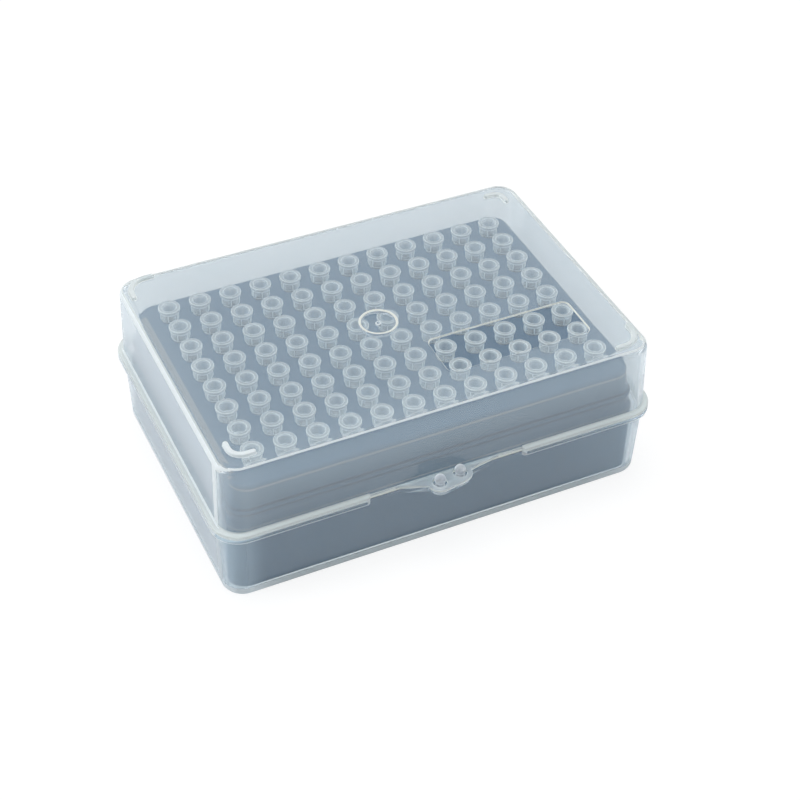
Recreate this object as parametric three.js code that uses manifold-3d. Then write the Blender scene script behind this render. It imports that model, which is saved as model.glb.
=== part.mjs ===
// A hinged box of small pipette tips: base tray, clear lid, blue tip rack and tips on a 9 mm grid.
// Millimetres. +Z is up, +X runs along the twelve columns, +Y points to the hinge at the back.
// The origin is on the surface the tray stands on, under the middle of the tip grid.
import * as THREE from 'three';
import { mergeVertices } from 'three/addons/utils/BufferGeometryUtils.js';
import Module from 'manifold-3d';

const wasm = await Module();
wasm.setup();

// ---- Driving dimensions -------------------------------------------------------------------

const TIP_PITCH = 9;                 // the standard spacing of a 96 place grid
const COLUMNS = 12;
const ROWS = 8;

const WALL = 1.5;                    // tray wall and floor
const LID_WALL = 1.2;
const SEAM_GAP = 0.25;               // between the tray rim and the closed lid
const CUT_MARGIN = 1;                // how far a cutting solid runs past the faces it cuts

const TRAY_FOOT = { halfX: 61.6, halfY: 42.4, radius: 6.0 };
const TRAY_MOUTH = { halfX: 62.1, halfY: 43.4, radius: 6.4 };
const TRAY_FILLET = 1.9;
const TRAY_HEIGHT = 23.1;

const LID_MOUTH = { halfX: 62.0, halfY: 43.5, radius: 6.4 };
const LID_CROWN = { halfX: 61.4, halfY: 42.7, radius: 6.0 };
const LID_TOP = 45.6;
const LID_FILLET = 2.2;
const LID_BOTTOM = TRAY_HEIGHT + SEAM_GAP;

const FLANGE_REACH = { x: 1.7, y: 1.35, corner: 1.5 };   // how far each rim flange stands out
const FLANGE_THICK = 1.2;
const FLANGE_GAP = { left: -22.4, right: 22.0 };         // the stretch of front rim with no flange
const RIM_BEAD = 0.3;                // what is left of the flange along that gap

const RACK_FOOT = { halfX: 59.7, halfY: 40.5, radius: 5.0 };
const RACK_SKIRT = { halfX: 59.4, halfY: 40.4, radius: 5.0 };
const RACK_WAIST = { halfX: 58.4, halfY: 39.7, radius: 5.0 };
const RACK_LEDGE = { halfX: 58.7, halfY: 40.0, radius: 5.0 };
const RACK_BLOCK = { halfX: 57.7, halfY: 39.4, radius: 5.0 };
const RACK_DECK = { halfX: 57.2, halfY: 39.2, radius: 4.8 };
const RACK_WALL = 1.4;
const RACK_CLEARANCE = 0.3;          // under the rack's foot
const RACK_BOTTOM = WALL + RACK_CLEARANCE;
const LOWER_STEP = 23.0;             // top of the wide skirt
const UPPER_STEP = 28.5;             // top of the narrow ledge under the deck block
const STEP_SLOPE = 1.8;              // height over which each step slopes in
const DECK_TOP = 36.3;               // along the deck's edges
const DECK_THICK = 1.5;
const DECK_FILLET = 1.0;
const DECK_SAG = { depth: 1.25, halfX: 56, halfY: 38 };  // the thin deck bows down in the middle
const HOLE_RADIUS = 2.45;

const TIP_TOP = 40.2;                // for a tip at the deck's edge
const TIP_LENGTH = 31.5;
const TIP_SEAT_GAP = 0.3;            // the hub's shoulder stands this far above the deck
const COLLAR_RADIUS = 3.05;
const COLLAR_HEIGHT = 1.4;
const HUB_RADIUS = 2.65;
const SHAFT_RADIUS = 2.15;
const SHAFT_LENGTH = 8;              // straight shaft below the deck, before the long cone
const SHAFT_END_RADIUS = 1.9;
const POINT_RADIUS = 0.5;
const POINT_BORE = 0.25;
const BORE_MOUTH = 2.15;
const BORE_RADIUS = 1.7;
const TIP_SIDES = 8;

const TAB_THICK = 1.0;
const TAB_RADIUS = 3.3;
const TAB_LEFT = { x: -3.6, y: -46.4 };
const TAB_RIGHT = { x: 2.8, y: -45.2 };
const GUSSET_HALF = 14.9;            // where the tab's sloping sides meet the lid wall
const STUD_RADIUS = 1.1;
const STUD_BALL = 1.5;
const STUD_BALL_Z = 25.1;
const STUD_HOLE = 1.9;
const SHELF_THICK = 1.2;
const SHELF_INSET = 0.8;             // the stud shelf is this much smaller than the tab over it
const SHELF_HALF = 14.4;             // where the shelf's sloping sides meet the tray wall
const SHELF_DROP = 0.15;             // and its face lies this far below the tray rim

const HINGE_EYE = 1.9;
const HINGE_Y = TAB_RADIUS - TAB_LEFT.y - HINGE_EYE;     // the hinge reaches back as far as the tab
const HINGE_Z = 23.2;
const HINGE_X = 32;                  // each side of the middle
const HINGE_BORE = 1.1;
const PIN_RADIUS = 0.85;
const EYE_WIDTH = 5;
const EAR_THICK = 1.5;
const EAR_GAP = 0.35;                // beside the eye
const SNAP_SLOT = 1.4;               // opening in the eye that the pin is pressed through

// The stacking ribs' middle lines, in from the lid's sides. One diagonal's two stand further in.
const RIBS = [
  { signX: -1, signY: -1, inset: 4.7 },
  { signX: 1, signY: -1, inset: 2.8 },
  { signX: 1, signY: 1, inset: 5.8 },
  { signX: -1, signY: 1, inset: 2.7 },
];
const RIB_BEND = 8.2;                // from the lid's sides to the point that each rib bends about
const RIB_LEG = 10.8;                // and to the rib's ends
const RIB_WIDTH = 1.4;
const RIB_HEIGHT = 0.9;

const GATE = { x: -1.7, y: -3.6, radius: 5.4, depth: 0.9, skin: 1.1, wall: 1.2 };
const GATE_NUB = { radius: 0.8, height: 0.45 };
const WINDOW = { x: 27.6, y: -23.1, halfX: 21.2, halfY: 7.3, radius: 2, depth: 0.35 };

const CORNER_STEPS = 3;              // arc divisions given to Path.getPoints
const FILLET_STEPS = 3;
const ROUND_SIDES = 24;
const SMALL_SIDES = 14;              // around studs, stud holes and the gate's nub
const BALL_RINGS = 10;

// ---- Materials ----------------------------------------------------------------------------

function plastic(colour, roughness, opacity) {
  const clear = opacity < 1;
  return new THREE.MeshStandardMaterial({
    color: colour, roughness, metalness: 0, transparent: clear, opacity,
  });
}

const frostedPlastic = () => plastic(0xdfe8ea, 0.35, 0.5);
const clearPlastic = () => plastic(0xe6eff2, 0.2, 0.35);
const bluePlastic = () => plastic(0x1d4668, 0.35, 1);
const tipPlastic = () => plastic(0xe4edf0, 0.25, 0.6);

// ---- Solids -------------------------------------------------------------------------------

// Joins a geometry's shared corners and hands it over for cutting and joining.
function solid(geometry) {
  const bare = geometry.index ? geometry.toNonIndexed() : geometry.clone();
  bare.deleteAttribute('normal');
  bare.deleteAttribute('uv');
  const merged = mergeVertices(bare, 1e-4);
  return new wasm.Manifold(new wasm.Mesh({
    numProp: 3,
    vertProperties: new Float32Array(merged.attributes.position.array),
    triVerts: new Uint32Array(merged.index.array),
  }));
}

// Turns a finished solid back into a flat shaded geometry.
function geometryOf(body) {
  const { vertProperties, triVerts, numProp } = body.getMesh();
  const geometry = new THREE.BufferGeometry();
  const places = new Float32Array((vertProperties.length / numProp) * 3);
  for (let i = 0; i < places.length / 3; i += 1) {
    for (let k = 0; k < 3; k += 1) {
      places[i * 3 + k] = vertProperties[i * numProp + k];
    }
  }
  geometry.setAttribute('position', new THREE.BufferAttribute(places, 3));
  geometry.setIndex(new THREE.BufferAttribute(new Uint32Array(triVerts), 1));
  const flat = geometry.toNonIndexed();
  flat.computeVertexNormals();
  return flat;
}

function piece(name, body, material) {
  const mesh = new THREE.Mesh(geometryOf(body), material);
  mesh.name = name;
  return mesh;
}

function box(x0, x1, y0, y1, z0, z1) {
  const geometry = new THREE.BoxGeometry(x1 - x0, y1 - y0, z1 - z0);
  geometry.translate((x0 + x1) / 2, (y0 + y1) / 2, (z0 + z1) / 2);
  return solid(geometry);
}

// A plan outline raised from z0 to z1.
function raise(shape, z0, z1) {
  const geometry = new THREE.ExtrudeGeometry(shape, {
    depth: z1 - z0, bevelEnabled: false, curveSegments: CORNER_STEPS * 2,
  });
  geometry.translate(0, 0, z0);
  return solid(geometry);
}

function disc(x, y, z0, z1, radius, sides = ROUND_SIDES) {
  const geometry = new THREE.CylinderGeometry(radius, radius, z1 - z0, sides);
  geometry.rotateX(Math.PI / 2);
  geometry.translate(x, y, (z0 + z1) / 2);
  return solid(geometry);
}

// A cylinder along X.
function rod(x0, x1, y, z, radius, sides = ROUND_SIDES) {
  const geometry = new THREE.CylinderGeometry(radius, radius, x1 - x0, sides);
  geometry.rotateZ(Math.PI / 2);
  geometry.translate((x0 + x1) / 2, y, z);
  return solid(geometry);
}

// ---- Rounded rectangle walls --------------------------------------------------------------

function roundedRectangle({ halfX, halfY, radius }) {
  const shape = new THREE.Shape();
  const x = halfX - radius;
  const y = halfY - radius;
  shape.absarc(x, y, radius, 0, Math.PI / 2);
  shape.absarc(-x, y, radius, Math.PI / 2, Math.PI);
  shape.absarc(-x, -y, radius, Math.PI, Math.PI * 1.5);
  shape.absarc(x, -y, radius, Math.PI * 1.5, Math.PI * 2);
  return shape;
}

function grown(size, by) {
  return { halfX: size.halfX + by, halfY: size.halfY + by, radius: size.radius + by };
}

// A closed solid through a stack of rounded rectangles, given from the bottom up.
function loft(levels) {
  const places = [];
  const faces = [];
  const rings = levels.map(({ size, z }) => {
    const points = roundedRectangle(size).getPoints(CORNER_STEPS);
    if (points[0].distanceTo(points[points.length - 1]) < 1e-6) {
      points.pop();
    }
    const start = places.length / 3;
    points.forEach((point) => places.push(point.x, point.y, z));
    return { start, count: points.length, z };
  });
  for (let level = 0; level + 1 < rings.length; level += 1) {
    const low = rings[level];
    const high = rings[level + 1];
    for (let i = 0; i < low.count; i += 1) {
      const next = (i + 1) % low.count;
      faces.push(low.start + i, low.start + next, high.start + next);
      faces.push(low.start + i, high.start + next, high.start + i);
    }
  }
  const close = (ring, upward) => {
    const middle = places.length / 3;
    places.push(0, 0, ring.z);
    for (let i = 0; i < ring.count; i += 1) {
      const next = (i + 1) % ring.count;
      const edge = upward ? [ring.start + i, ring.start + next] : [ring.start + next, ring.start + i];
      faces.push(middle, ...edge);
    }
  };
  close(rings[0], false);
  close(rings[rings.length - 1], true);
  const geometry = new THREE.BufferGeometry();
  geometry.setAttribute('position', new THREE.Float32BufferAttribute(places, 3));
  geometry.setIndex(faces);
  return solid(geometry);
}

// Levels that round off the bottom (sign -1) or the top (sign +1) of a wall that ends at z.
function filletLevels(size, z, radius, sign) {
  const levels = [];
  for (let i = 0; i <= FILLET_STEPS; i += 1) {
    const turn = (i / FILLET_STEPS) * (Math.PI / 2);
    const inset = radius * (1 - Math.cos(turn));
    levels.push({ size: grown(size, -inset), z: z + sign * radius * (Math.sin(turn) - 1) });
  }
  return sign > 0 ? levels : levels.reverse();
}

// Both flanges leave the front middle free, apart from a narrow bead along the rim.
function flange(mouth, z0, z1) {
  const outline = {
    halfX: mouth.halfX + FLANGE_REACH.x,
    halfY: mouth.halfY + FLANGE_REACH.y,
    radius: mouth.radius + FLANGE_REACH.corner,
  };
  const gap = box(
    FLANGE_GAP.left, FLANGE_GAP.right,
    -outline.halfY - CUT_MARGIN, -mouth.halfY - RIM_BEAD,
    z0 - CUT_MARGIN, z1 + CUT_MARGIN,
  );
  return raise(roundedRectangle(outline), z0, z1).subtract(gap);
}

// ---- Front latch --------------------------------------------------------------------------

// The rounded end shared by the lid's tab and the tray's shelf, around both studs.
function latchEnd(radius) {
  const tilt = Math.atan2(TAB_RIGHT.y - TAB_LEFT.y, TAB_RIGHT.x - TAB_LEFT.x);
  const shape = new THREE.Shape();
  shape.absarc(TAB_LEFT.x, TAB_LEFT.y, radius, tilt + Math.PI / 2, tilt + Math.PI * 1.5);
  shape.absarc(TAB_RIGHT.x, TAB_RIGHT.y, radius, tilt - Math.PI / 2, tilt + Math.PI / 2);
  return shape;
}

// A plate that narrows from the wall's outer face to the latch end, rooted inside the wall.
function gusset(half, wall, radius) {
  const shape = new THREE.Shape();
  shape.moveTo(half, -wall.face);
  shape.lineTo(half, -wall.root);
  shape.lineTo(-half, -wall.root);
  shape.lineTo(-half, -wall.face);
  shape.lineTo(TAB_LEFT.x - radius, TAB_LEFT.y);
  shape.lineTo(TAB_RIGHT.x + radius, TAB_RIGHT.y);
  return shape;
}

function latchPlate(half, wall, radius, z0, z1) {
  const end = raise(latchEnd(radius), z0, z1);
  return end.add(raise(gusset(half, wall, radius), z0, z1));
}

function stud(centre) {
  const ball = new THREE.SphereGeometry(STUD_BALL, SMALL_SIDES, BALL_RINGS);
  ball.translate(centre.x, centre.y, STUD_BALL_Z);
  const foot = TRAY_HEIGHT - SHELF_DROP - SHELF_THICK / 2;
  return solid(ball).add(disc(centre.x, centre.y, foot, STUD_BALL_Z, STUD_RADIUS, SMALL_SIDES));
}

// ---- Rear hinge ---------------------------------------------------------------------------

// An open eye on the tray, which the lid's pin snaps into from behind.
function hingeEye(x) {
  const x0 = x - EYE_WIDTH / 2;
  const x1 = x + EYE_WIDTH / 2;
  const wallY = TRAY_MOUTH.halfY;
  const arm = box(x0, x1, wallY, HINGE_Y, TRAY_HEIGHT - FLANGE_THICK, TRAY_HEIGHT);
  const bore = rod(x0 - CUT_MARGIN, x1 + CUT_MARGIN, HINGE_Y, HINGE_Z, HINGE_BORE);
  const slot = box(
    x0 - CUT_MARGIN, x1 + CUT_MARGIN, HINGE_Y, HINGE_Y + HINGE_EYE + CUT_MARGIN,
    HINGE_Z - SNAP_SLOT / 2, HINGE_Z + SNAP_SLOT / 2,
  );
  return rod(x0, x1, HINGE_Y, HINGE_Z, HINGE_EYE).add(arm).subtract(bore).subtract(slot);
}

// Two ears on the lid with the pin between them.
function hingeFork(x) {
  const inner = EYE_WIDTH / 2 + EAR_GAP;
  const outer = inner + EAR_THICK;
  let fork = rod(x - outer + EAR_THICK / 2, x + outer - EAR_THICK / 2, HINGE_Y, HINGE_Z, PIN_RADIUS);
  [-1, 1].forEach((side) => {
    const x0 = x + (side < 0 ? -outer : inner);
    const x1 = x0 + EAR_THICK;
    const web = box(x0, x1, LID_MOUTH.halfY, HINGE_Y, LID_BOTTOM, LID_BOTTOM + FLANGE_THICK);
    fork = fork.add(rod(x0, x1, HINGE_Y, HINGE_Z, HINGE_EYE)).add(web);
  });
  return fork;
}

// ---- Base tray ----------------------------------------------------------------------------

function baseTray() {
  const outer = loft([
    ...filletLevels(TRAY_FOOT, 0, TRAY_FILLET, -1),
    { size: TRAY_MOUTH, z: TRAY_HEIGHT },
  ]);
  const inner = loft([
    { size: grown(TRAY_FOOT, -WALL), z: WALL },
    { size: grown(TRAY_MOUTH, -WALL), z: TRAY_HEIGHT },
    { size: grown(TRAY_MOUTH, -WALL), z: TRAY_HEIGHT + CUT_MARGIN },
  ]);
  const shelfTop = TRAY_HEIGHT - SHELF_DROP;
  const wall = { face: TRAY_MOUTH.halfY, root: TRAY_MOUTH.halfY - WALL / 2 };
  const shelf = latchPlate(SHELF_HALF, wall, TAB_RADIUS - SHELF_INSET, shelfTop - SHELF_THICK, shelfTop);
  let tray = outer.add(flange(TRAY_MOUTH, TRAY_HEIGHT - FLANGE_THICK, TRAY_HEIGHT));
  tray = tray.add(shelf).subtract(inner);
  [TAB_LEFT, TAB_RIGHT].forEach((centre) => {
    tray = tray.add(stud(centre));
  });
  [-HINGE_X, HINGE_X].forEach((x) => {
    tray = tray.add(hingeEye(x));
  });
  return piece('base_tray', tray, frostedPlastic());
}

// ---- Lid ----------------------------------------------------------------------------------

// One curved stacking rib, drawn for the corner at +X +Y and mirrored to its own.
function stackingRib({ signX, signY, inset }) {
  const half = RIB_WIDTH / 2;
  const radius = RIB_BEND - inset;
  const bendX = LID_CROWN.halfX - RIB_BEND;
  const bendY = LID_CROWN.halfY - RIB_BEND;
  const endX = LID_CROWN.halfX - RIB_LEG;
  const endY = LID_CROWN.halfY - RIB_LEG;
  const shape = new THREE.Shape();
  shape.moveTo(bendX + radius + half, endY);
  shape.absarc(bendX, bendY, radius + half, 0, Math.PI / 2);
  shape.lineTo(endX, bendY + radius + half);
  shape.lineTo(endX, bendY + radius - half);
  shape.absarc(bendX, bendY, radius - half, Math.PI / 2, 0, true);
  shape.lineTo(bendX + radius - half, endY);
  const points = shape.getPoints(CORNER_STEPS);
  points.forEach((point) => point.set(point.x * signX, point.y * signY));
  return raise(new THREE.Shape(points), LID_TOP - LID_WALL / 2, LID_TOP + RIB_HEIGHT);
}

function lidShell() {
  const outer = loft([
    { size: LID_MOUTH, z: LID_BOTTOM },
    ...filletLevels(LID_CROWN, LID_TOP, LID_FILLET, 1),
  ]);
  const inner = loft([
    { size: grown(LID_MOUTH, -LID_WALL), z: LID_BOTTOM - CUT_MARGIN },
    { size: grown(LID_MOUTH, -LID_WALL), z: LID_BOTTOM },
    ...filletLevels(grown(LID_CROWN, -LID_WALL), LID_TOP - LID_WALL, LID_FILLET - LID_WALL, 1),
  ]);
  return { outer, inner };
}

// The round moulding gate: a cup that hangs under the top, its hollow, and the nub in its middle.
function gate() {
  const { x, y, radius } = GATE;
  const floor = LID_TOP - GATE.depth;
  const cup = disc(x, y, floor - GATE.skin, LID_TOP - LID_WALL / 2, radius + GATE.wall);
  const hollow = disc(x, y, floor, LID_TOP + CUT_MARGIN, radius);
  const nub = disc(x, y, floor - GATE.skin / 2, floor + GATE_NUB.height, GATE_NUB.radius, SMALL_SIDES);
  return { cup, hollow, nub };
}

function lid() {
  const { outer, inner } = lidShell();
  const wall = { face: LID_MOUTH.halfY, root: LID_MOUTH.halfY - LID_WALL / 2 };
  const tabTop = LID_BOTTOM + TAB_THICK;
  const tab = latchPlate(GUSSET_HALF, wall, TAB_RADIUS, LID_BOTTOM, tabTop);
  let body = outer.add(flange(LID_MOUTH, LID_BOTTOM, LID_BOTTOM + FLANGE_THICK)).add(tab);
  body = body.subtract(inner);

  const { cup, hollow, nub } = gate();
  body = body.add(cup).subtract(hollow).add(nub);

  const pane = raise(roundedRectangle(WINDOW), LID_TOP - WINDOW.depth, LID_TOP + CUT_MARGIN);
  body = body.subtract(pane.translate([WINDOW.x, WINDOW.y, 0]));

  [TAB_LEFT, TAB_RIGHT].forEach(({ x, y }) => {
    body = body.subtract(disc(x, y, LID_BOTTOM - CUT_MARGIN, tabTop + CUT_MARGIN, STUD_HOLE, SMALL_SIDES));
  });
  RIBS.forEach((rib) => {
    body = body.add(stackingRib(rib));
  });
  [-HINGE_X, HINGE_X].forEach((x) => {
    body = body.add(hingeFork(x));
  });
  return piece('lid', body, clearPlastic());
}

// ---- Tip rack -----------------------------------------------------------------------------

function gridPlace(column, row) {
  return {
    x: (column - (COLUMNS - 1) / 2) * TIP_PITCH,
    y: ((ROWS - 1) / 2 - row) * TIP_PITCH,
  };
}

// How far the deck and the tips in it have bowed down at this place.
function sagAt(x, y) {
  const acrossX = Math.max(0, 1 - (x / DECK_SAG.halfX) ** 2);
  const acrossY = Math.max(0, 1 - (y / DECK_SAG.halfY) ** 2);
  return DECK_SAG.depth * acrossX * acrossY;
}

// Lowers the deck's faces by the sag, and leaves the walls under it straight.
function bowDeck(mesh) {
  const places = mesh.geometry.attributes.position;
  for (let i = 0; i < places.count; i += 1) {
    if (places.getZ(i) > DECK_TOP - DECK_THICK - DECK_FILLET) {
      places.setZ(i, places.getZ(i) - sagAt(places.getX(i), places.getY(i)));
    }
  }
  mesh.geometry.computeVertexNormals();
  return mesh;
}

function tipRack() {
  const outer = loft([
    { size: RACK_FOOT, z: RACK_BOTTOM },
    { size: RACK_SKIRT, z: LOWER_STEP },
    { size: RACK_WAIST, z: LOWER_STEP + STEP_SLOPE },
    { size: RACK_LEDGE, z: UPPER_STEP },
    { size: RACK_BLOCK, z: UPPER_STEP + STEP_SLOPE },
    ...filletLevels(RACK_DECK, DECK_TOP, DECK_FILLET, 1),
  ]);
  const inner = loft([
    { size: grown(RACK_FOOT, -RACK_WALL), z: RACK_BOTTOM - CUT_MARGIN },
    { size: grown(RACK_SKIRT, -RACK_WALL), z: LOWER_STEP },
    { size: grown(RACK_BLOCK, -RACK_WALL), z: LOWER_STEP + STEP_SLOPE },
    { size: grown(RACK_DECK, -RACK_WALL), z: DECK_TOP - DECK_THICK },
  ]);
  const holeBottom = DECK_TOP - DECK_THICK - CUT_MARGIN;
  let rack = outer.subtract(inner);
  for (let column = 0; column < COLUMNS; column += 1) {
    for (let row = 0; row < ROWS; row += 1) {
      const { x, y } = gridPlace(column, row);
      rack = rack.subtract(disc(x, y, holeBottom, DECK_TOP + CUT_MARGIN, HOLE_RADIUS, TIP_SIDES));
    }
  }
  return bowDeck(piece('tip_rack', rack, bluePlastic()));
}

// ---- Tips ---------------------------------------------------------------------------------

// One tip, turned about its own axis, with its collar's top face at z = 0.
function tipGeometry() {
  const seat = TIP_TOP - DECK_TOP - TIP_SEAT_GAP;
  const shaftEnd = seat + SHAFT_LENGTH;
  const profile = [
    [BORE_MOUTH, 0],
    [BORE_RADIUS, -COLLAR_HEIGHT],
    [BORE_RADIUS, -shaftEnd],
    [POINT_BORE, -TIP_LENGTH],
    [POINT_RADIUS, -TIP_LENGTH],
    [SHAFT_END_RADIUS, -shaftEnd],
    [SHAFT_RADIUS, -seat],
    [HUB_RADIUS, -seat],
    [HUB_RADIUS, -COLLAR_HEIGHT],
    [COLLAR_RADIUS, -COLLAR_HEIGHT],
    [COLLAR_RADIUS, 0],
    [BORE_MOUTH, 0],
  ];
  const outline = profile.map(([r, z]) => new THREE.Vector2(r, z));
  const geometry = new THREE.LatheGeometry(outline, TIP_SIDES);
  geometry.rotateX(Math.PI / 2);
  return geometryOf(solid(geometry));
}

// Every other place holds its own tip here, so that each one stays a piece of its own.
function tips() {
  const geometry = tipGeometry();
  const group = new THREE.Group();
  for (let column = 0; column < COLUMNS; column += 1) {
    for (let row = 0; row < ROWS; row += 1) {
      if ((column + row) % 2 === 0) {
        const { x, y } = gridPlace(column, row);
        const tip = new THREE.Mesh(geometry, tipPlastic());
        tip.name = `tip_${'ABCDEFGH'[row]}${column + 1}`;
        tip.position.set(x, y, TIP_TOP - sagAt(x, y));
        group.add(tip);
      }
    }
  }
  return group;
}

// ---- The box ------------------------------------------------------------------------------

const tipBox = new THREE.Group();
tipBox.add(baseTray());
tipBox.add(lid());
tipBox.add(tipRack());
tipBox.add(tips());

export default tipBox;
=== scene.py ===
"""Hinged box of pipette tips: frosted base tray, clear lid, blue tip rack and 96 tips.

Lengths below are in millimetres and are scaled to metres when each mesh is made. The origin is
under the middle of the tip grid, +X runs along the twelve columns and +Y points to the hinge.
"""
import math
from collections import namedtuple

import bmesh
import bpy
from mathutils import Matrix, Vector


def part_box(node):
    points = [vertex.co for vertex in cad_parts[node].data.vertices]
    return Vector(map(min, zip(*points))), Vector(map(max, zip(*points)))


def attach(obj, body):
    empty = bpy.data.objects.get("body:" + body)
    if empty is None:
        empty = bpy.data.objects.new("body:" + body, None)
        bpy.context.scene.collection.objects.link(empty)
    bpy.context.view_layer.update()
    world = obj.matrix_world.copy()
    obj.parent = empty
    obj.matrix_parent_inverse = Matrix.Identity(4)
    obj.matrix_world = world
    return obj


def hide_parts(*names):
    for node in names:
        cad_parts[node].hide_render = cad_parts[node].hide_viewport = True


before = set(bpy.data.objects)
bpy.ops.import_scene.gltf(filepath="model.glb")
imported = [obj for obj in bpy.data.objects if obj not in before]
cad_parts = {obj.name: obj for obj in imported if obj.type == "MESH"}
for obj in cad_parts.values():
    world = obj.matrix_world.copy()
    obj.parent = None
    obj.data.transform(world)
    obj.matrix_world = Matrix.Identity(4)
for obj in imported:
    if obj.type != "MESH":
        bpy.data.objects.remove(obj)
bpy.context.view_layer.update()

MM = 0.001
CLOSE = 0.001                # lengths that differ by less are the same
# Of a clear piece's places, the third and sixth are painted light: pale milk on edges, lines and bands
# that stand for highlights, the sixth in a warm cream.
WALLS, THICK, PAINTED_LIGHT, HAZY, PANE, PAINTED_WARM_LIGHT = range(6)     # places of a clear piece's materials
# Of the rack's places, the second is a painted sheen, pale grey on lit edges, and the third is painted
# shade, darker blue lines at the upper ledge.
BODY, PAINTED_SHEEN, PAINTED_LEDGE_SHADE = range(3)                       # places of the rack's materials
Size = namedtuple("Size", "half_x half_y radius")    # a rounded rectangle seen from above
Place = namedtuple("Place", "x y")

# ---- Dimensions ---------------------------------------------------------------------------

TIP_PITCH = 9.0
COLUMNS = 12
ROWS = 8

CORNER_BAND = 1.5            # of the left wall beside its front corner, where a painted highlight band runs
CORNER_STEPS = 10            # divisions of a quarter turn seen from above
EDGE_STEPS = 4               # divisions of a rounded edge
FILLET_STEPS = 12            # divisions of the lid's rounded top edge
ROUND_SIDES = 48
HOLE_SIDES = 24

TRAY_WALL = 1.5
TRAY_FOOT = Size(61.6, 42.4, 6.0)
TRAY_MOUTH = Size(62.1, 43.4, 6.4)
TRAY_FILLET = 1.9
TRAY_FLOOR_FILLET = 1.2
FOOT_BAND = 3.1              # the thick foot of the wall ends here
TRAY_HEIGHT = 23.1
TRAY_FLANGE_LINE = 22.4      # the flange is milky in front below this height
RIM_ROUND = 0.25             # on the free edges of both rims

LID_WALL = 1.2
LID_MOUTH = Size(62.0, 43.5, 6.4)
LID_CROWN = Size(61.4, 42.7, 6.0)
LID_FILLET = 2.2
LID_BOTTOM = TRAY_HEIGHT + 0.25
RIB_HEIGHT = 0.9
RIB_ROUND = 0.3
LID_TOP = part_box("lid")[1].z / MM - RIB_HEIGHT

FLANGE_X = 1.7               # how far the rim flanges stand out, at the ends and at front and back
FLANGE_Y = 1.35
FLANGE_CORNER = 1.5
FLANGE_THICK = 1.2
FLANGE_EDGE = 0.35
FLANGE_ROOT = 0.4            # concave fillet between the flange and the wall
FLANGE_LINES = (0.45, 0.55, 0.65, 0.75)      # heights of the thin painted highlight lines on the lid's flange
LINE_HALF = 0.02
GAP_LEFT = -22.4             # the front rim has no flange between these, only a bead
GAP_RIGHT = 22.0
GAP_LINE = 0.46              # height of the painted warm highlight line along the lid's rim in the gap
RIM_BEAD = 0.3
GAP_REACH = FLANGE_Y - RIM_BEAD      # length of the flange's rounded ends beside the gap

RACK_WALL = 1.4
RACK_BOTTOM = 1.8
RACK_FOOT = Size(59.7, 40.5, 5.0)
RACK_FOOT_ROUND = 1.2
RACK_SKIRT = Size(59.4, 40.4, 5.0)
RACK_WAIST = Size(58.4, 39.7, 5.0)
RACK_LEDGE = Size(58.7, 40.0, 5.0)
RACK_BLOCK = Size(57.7, 39.4, 5.0)
RACK_DECK = Size(57.2, 39.2, 4.8)
LOWER_STEP = 23.0
UPPER_STEP = 28.5
STEP_SLOPE = 1.8
LOWER_ROUND = 0.6            # rounded edges of the two steps
UPPER_ROUND = 0.5
DECK_TOP = 36.3
DECK_THICK = 1.5
DECK_FILLET = 1.0
DECK_SAG = 1.25
SAG_HALF = Place(56.0, 38.0)
SHEEN_WIDTH = 1.8            # of the painted sheen strip along the deck's left side
HOLE_RADIUS = 2.45
HOLE_EDGE = 0.15

TIP_TOP = 40.2
TIP_SEAT = 3.6               # from the collar's top down to the shoulder over the deck
TIP_LENGTH = 31.5
HUB_RIBS = 6
RIB_STEPS = 8                # divisions from one hub rib to the next
HUB_RIB_HEIGHT = 0.13
TIP_TURN = 37.0              # degrees, so that neighbouring tips' ribs don't line up

TAB_LEFT = Place(-3.6, -46.4)
TAB_RIGHT = Place(2.8, -45.2)
TAB_RADIUS = 3.29
TAB_THICK = 1.0
TAB_ROUND = 0.25
TAB_HALF = 14.9
SHELF_HALF = 14.4
SHELF_RADIUS = 2.5
SHELF_THICK = 1.2
SHELF_ROUND = 0.2
SHELF_DROP = 0.15
STUD_HOLE = 1.9
STUD_RADIUS = 1.1
STUD_BALL = 1.5
STUD_BALL_Z = 25.1
STUD_FOOT = 0.35             # fillet where the stem meets the shelf

HINGE_Y = 47.8
HINGE_Z = 23.2
HINGE_X = 32.0
HINGE_EYE = 1.9
HINGE_BORE = 1.1
HINGE_ROUND = 0.12
HINGE_INSET = 0.05           # the arms keep this far inside the flanges, above and below
PIN_RADIUS = 0.85
EYE_WIDTH = 5.0
EAR_THICK = 1.5
EAR_GAP = 0.35
SNAP_HALF = 0.7              # half the opening that the pin is pressed through

GATE = Place(-1.9, -3.4)
GATE_RADIUS = 4.7
GATE_DEPTH = 0.9
GATE_SKIN = 1.1
GATE_WALL = 0.6
GATE_RING = 0.68             # width of the painted warm highlight ring round it
NUB_RADIUS = 0.8
NUB_HEIGHT = 0.45
WINDOW = Place(27.6, -23.1)
WINDOW_SIZE = Size(21.2, 7.3, 2.0)
WINDOW_DEPTH = 0.35

RIB_WIDTH = 1.4
RIB_BEND = 8.2
RIB_LEG = 10.8
RIBS = (                     # which corner, how far in from the lid's sides, and which material; the front-left one is painted light
    (-1, -1, 4.7, PAINTED_LIGHT),
    (1, -1, 2.8, THICK),
    (1, 1, 5.8, THICK),
    (-1, 1, 2.7, THICK),
)

# ---- Outlines -----------------------------------------------------------------------------


def arc(cx, cy, radius, start, end, steps):
    """Points on a circle from one angle to another, both ends included, in degrees."""
    points = []
    for i in range(steps + 1):
        turn = math.radians(start + (end - start) * i / steps)
        points.append((cx + radius * math.cos(turn), cy + radius * math.sin(turn)))
    return points


def circle(centre, radius, sides=ROUND_SIDES):
    return arc(centre.x, centre.y, radius, 0, 360, sides)[:-1]


def grown(size, by):
    return Size(size.half_x + by, size.half_y + by, size.radius + by)


def between(low, high, share):
    return Size(*(a + (b - a) * share for a, b in zip(low, high)))


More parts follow.
